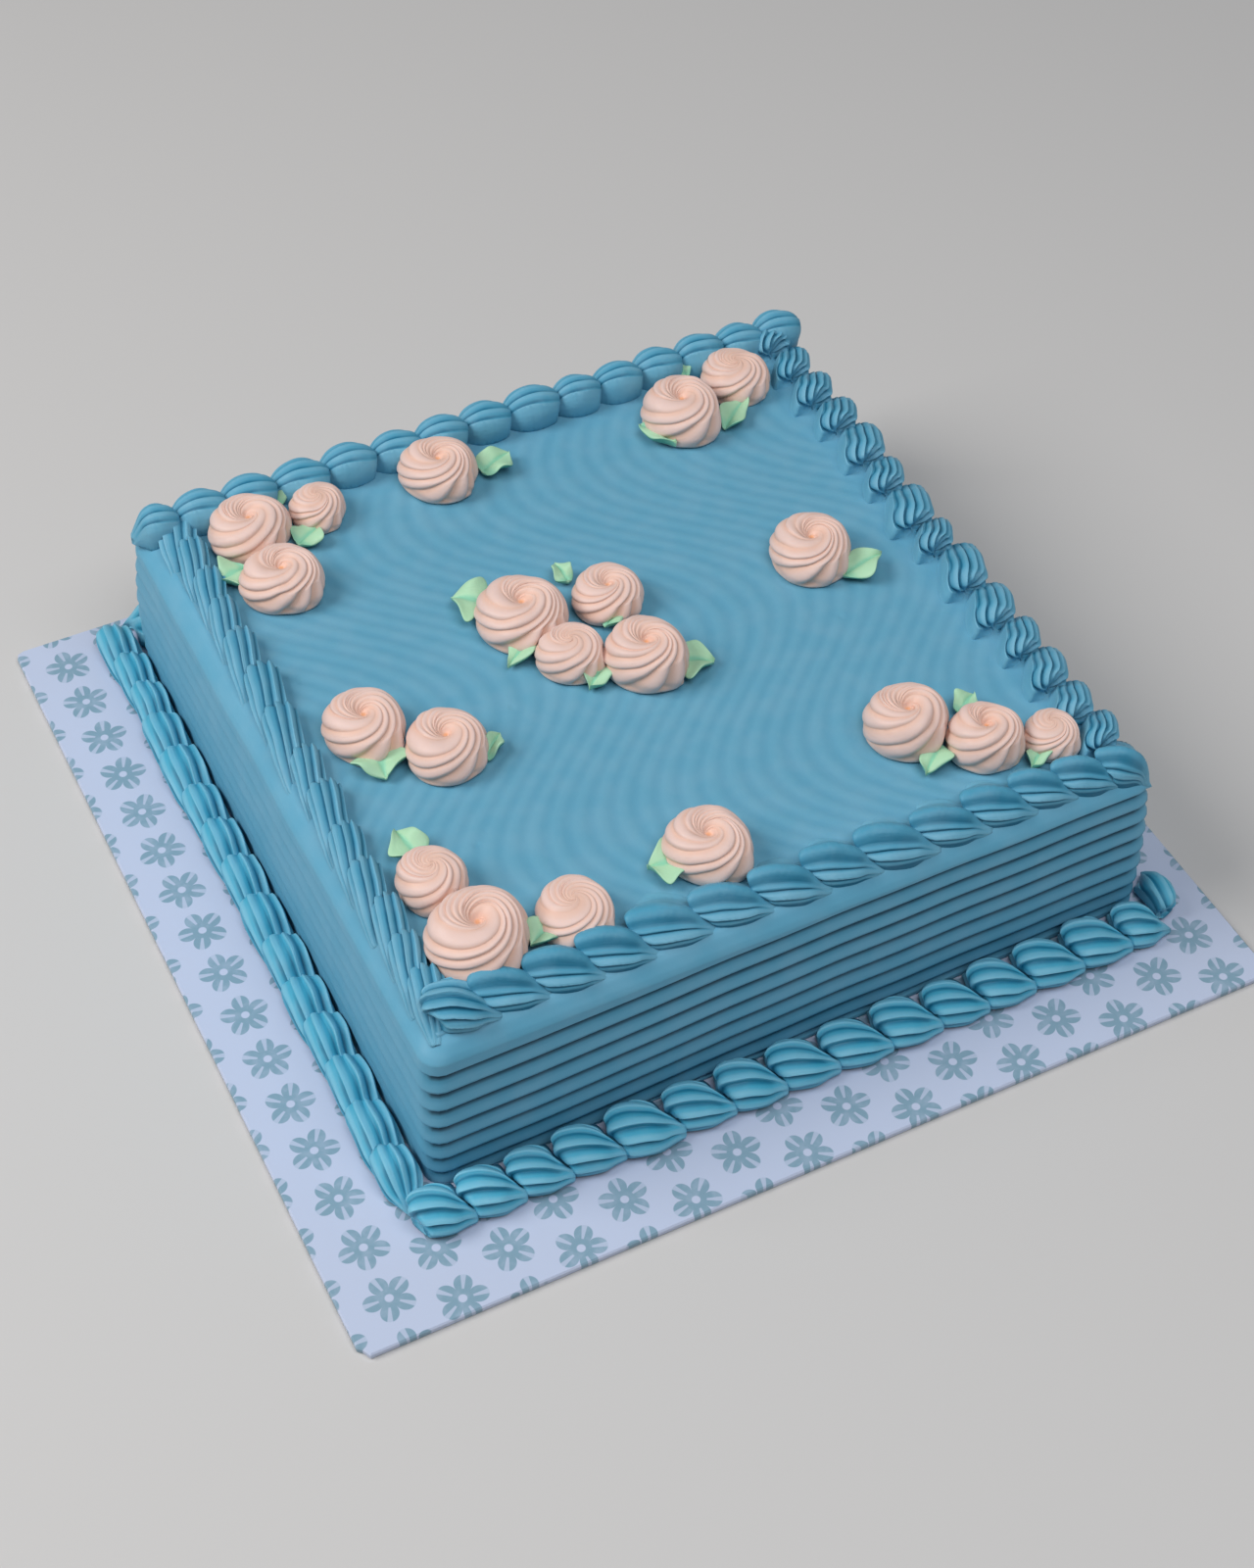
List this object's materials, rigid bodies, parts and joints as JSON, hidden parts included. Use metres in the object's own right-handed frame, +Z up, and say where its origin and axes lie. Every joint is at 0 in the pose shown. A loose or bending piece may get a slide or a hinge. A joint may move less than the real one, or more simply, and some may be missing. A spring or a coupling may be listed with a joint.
{
  "type": "ribbon cake",
  "caption": "Square cream-coated cake with combed walls, piped shell borders, cream rosettes and leaves, on its own square board.",
  "frame": {"origin": "middle of the board's underside", "axes": "+Z up; -Y the combed side that faces the viewer of the picture, -X the smooth side on its left"},
  "size_m": [0.26, 0.26, 0.0659],
  "materials": {
    "board": "thin board wrapped in satin paper, pale lilac grey with a printed blossom pattern",
    "coat": "smooth blue whipped cream with comb marks, soft satin",
    "piping": "deeper blue piped cream with sharp star-tip ridges, soft satin",
    "rose": "pale peach piped cream with apricot hollows, soft satin",
    "leaf": "pale green piped cream with deeper green folds, soft satin"
  },
  "bodies": {
    "root": {"board": "board", "cake": "coat", "base_border_front": "piping", "base_border_right": "piping", "base_border_back": "piping", "base_border_left": "piping", "top_border_front": "piping", "top_border_right": "piping", "top_border_back": "piping", "top_border_left": "piping", "rosette_01": "rose", "rosette_02": "rose", "rosette_03": "rose", "rosette_04": "rose", "rosette_05": "rose", "rosette_06": "rose", "rosette_07": "rose", "rosette_08": "rose", "rosette_09": "rose", "rosette_10": "rose", "rosette_11": "rose", "rosette_12": "rose", "rosette_13": "rose", "rosette_14": "rose", "rosette_15": "rose", "rosette_16": "rose", "rosette_17": "rose", "rosette_18": "rose", "rosette_19": "rose", "rosette_20": "rose", "leaf_01": "leaf", "leaf_02": "leaf", "leaf_03": "leaf", "leaf_04": "leaf", "leaf_05": "leaf", "leaf_06": "leaf", "leaf_07": "leaf", "leaf_08": "leaf", "leaf_09": "leaf", "leaf_10": "leaf", "leaf_11": "leaf", "leaf_12": "leaf", "leaf_13": "leaf", "leaf_14": "leaf", "leaf_15": "leaf", "leaf_16": "leaf", "leaf_17": "leaf", "leaf_18": "leaf", "leaf_19": "leaf", "leaf_20": "leaf", "leaf_21": "leaf", "leaf_22": "leaf"}
  },
  "joints": []
}
